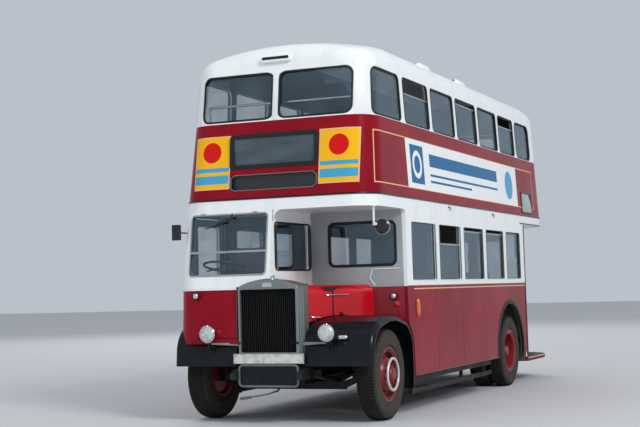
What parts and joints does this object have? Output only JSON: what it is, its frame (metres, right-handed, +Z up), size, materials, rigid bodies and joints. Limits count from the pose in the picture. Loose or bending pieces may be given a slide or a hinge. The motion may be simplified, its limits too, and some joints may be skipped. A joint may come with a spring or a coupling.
{
  "type": "double decker bus",
  "caption": "Half-cab double decker bus with open rear platform, exposed radiator, steering front axle, opening doors and bonnet.",
  "frame": {"origin": "on the ground under the middle of the bus", "axes": "+Z up, front towards -Y, nearside (the platform side) towards +X"},
  "size_m": [2.595, 8.23, 4.41],
  "materials": {
    "crimson_paint": "deep gloss coach paint",
    "maroon_paint": "dark gloss coach paint",
    "white_paint": "gloss coach paint",
    "bonnet_paint": "bright gloss coach paint",
    "wing_paint": "blue-black gloss paint",
    "wheel_paint": "gloss paint",
    "chassis_paint": "black chassis paint",
    "inside_paint": "plain inside paint",
    "radiator_metal": "silvery cast shell",
    "grille_black": "matt black slats",
    "glass": "clear flat glass",
    "lamp_chrome": "polished rims and bowls",
    "rail_metal": "polished rail",
    "tyre": "worn black tread and walls",
    "seat_cloth": "woven moquette",
    "seat_metal": "dark tube and sheet",
    "floor_wood": "slatted boards",
    "board_black": "blank boards",
    "mirror_black": "black backs",
    "wheel_rubber": "black rim"
  },
  "bodies": {
    "root": {"cab_floor": "inside_paint", "cab_shell": "crimson_paint", "cab_sides": "crimson_paint", "canopies": "white_paint", "chassis_frame": "chassis_paint", "destination_boxes": "board_black", "engine_block": "chassis_paint", "front_axle_beam": "chassis_paint", "front_boards": "board_black", "front_bulkhead": "inside_paint", "front_wings": "wing_paint", "fuel_tank": "chassis_paint", "gearbox_and_shaft": "chassis_paint", "handrails": "rail_metal", "headlamps": "lamp_chrome", "leaf_springs": "chassis_paint", "lower_floor": "floor_wood", "lower_rear": "crimson_paint", "lower_side_nearside": "crimson_paint", "lower_side_offside": "crimson_paint", "mirrors": "mirror_black", "platform_bearers": "chassis_paint", "radiator_grille": "grille_black", "radiator_shell": "radiator_metal", "rear_axle_casing": "chassis_paint", "rear_bulkhead": "inside_paint", "rear_platform": "floor_wood", "roof": "white_paint", "seat_frames": "seat_metal", "seat_pads": "seat_cloth", "side_guards": "chassis_paint", "staircase": "inside_paint", "steering_wheel": "wheel_rubber", "upper_floor": "floor_wood", "upper_front": "white_paint", "upper_rear": "maroon_paint", "upper_side_nearside": "white_paint", "upper_side_offside": "white_paint", "wheel_boxes": "inside_paint", "window_glass": "glass"},
    "knuckle_nearside": {"steering_knuckle_nearside": "chassis_paint"},
    "knuckle_offside": {"steering_knuckle_offside": "chassis_paint"},
    "front_wheel_nearside": {"wheel_front_nearside": "wheel_paint", "tyre_front_nearside": "tyre"},
    "front_wheel_offside": {"wheel_front_offside": "wheel_paint", "tyre_front_offside": "tyre"},
    "rear_wheels_nearside": {"wheel_rear_nearside": "wheel_paint", "tyres_rear_nearside": "tyre"},
    "rear_wheels_offside": {"wheel_rear_offside": "wheel_paint", "tyres_rear_offside": "tyre"},
    "driver_door": {"cab_door": "crimson_paint", "cab_door_glass": "glass"},
    "bonnet_lid": {"bonnet": "bonnet_paint"},
    "escape_door": {"emergency_door": "maroon_paint", "emergency_door_glass": "glass"}
  },
  "joints": [
    {"name": "steer_nearside", "type": "hinge", "parent": "root", "child": "knuckle_nearside", "pos_m": [0.9, -3.315, 0.51], "axis": [0, 0, 1], "range_deg": [-35, 35]},
    {"name": "steer_offside", "type": "hinge", "parent": "root", "child": "knuckle_offside", "pos_m": [-0.9, -3.315, 0.51], "axis": [0, 0, 1], "range_deg": [-35, 35]},
    {"name": "front_spin_nearside", "type": "hinge", "parent": "knuckle_nearside", "child": "front_wheel_nearside", "pos_m": [1.05, -3.315, 0.51], "axis": [1, 0, 0], "continuous": true},
    {"name": "rear_spin_nearside", "type": "hinge", "parent": "root", "child": "rear_wheels_nearside", "pos_m": [0.94, 1.663, 0.51], "axis": [1, 0, 0], "continuous": true},
    {"name": "front_spin_offside", "type": "hinge", "parent": "knuckle_offside", "child": "front_wheel_offside", "pos_m": [-1.05, -3.315, 0.51], "axis": [1, 0, 0], "continuous": true},
    {"name": "rear_spin_offside", "type": "hinge", "parent": "root", "child": "rear_wheels_offside", "pos_m": [-0.94, 1.663, 0.51], "axis": [1, 0, 0], "continuous": true},
    {"name": "cab_door_hinge", "type": "hinge", "parent": "root", "child": "driver_door", "pos_m": [-1.2245, -3.53, 1.8], "axis": [0, 0, 1], "range_deg": [0, 80]},
    {"name": "emergency_door_hinge", "type": "hinge", "parent": "root", "child": "escape_door", "pos_m": [-0.45, 4.104, 3.4], "axis": [0, 0, 1], "range_deg": [0, 95]},
    {"name": "bonnet_hinge", "type": "hinge", "parent": "root", "child": "bonnet_lid", "pos_m": [0.018, -3.265, 1.54], "axis": [0, -1, 0], "range_deg": [0, 60]}
  ],
  "couplings": [
    {"joint": "steer_offside", "follows": "steer_nearside", "ratio": 1}
  ]
}
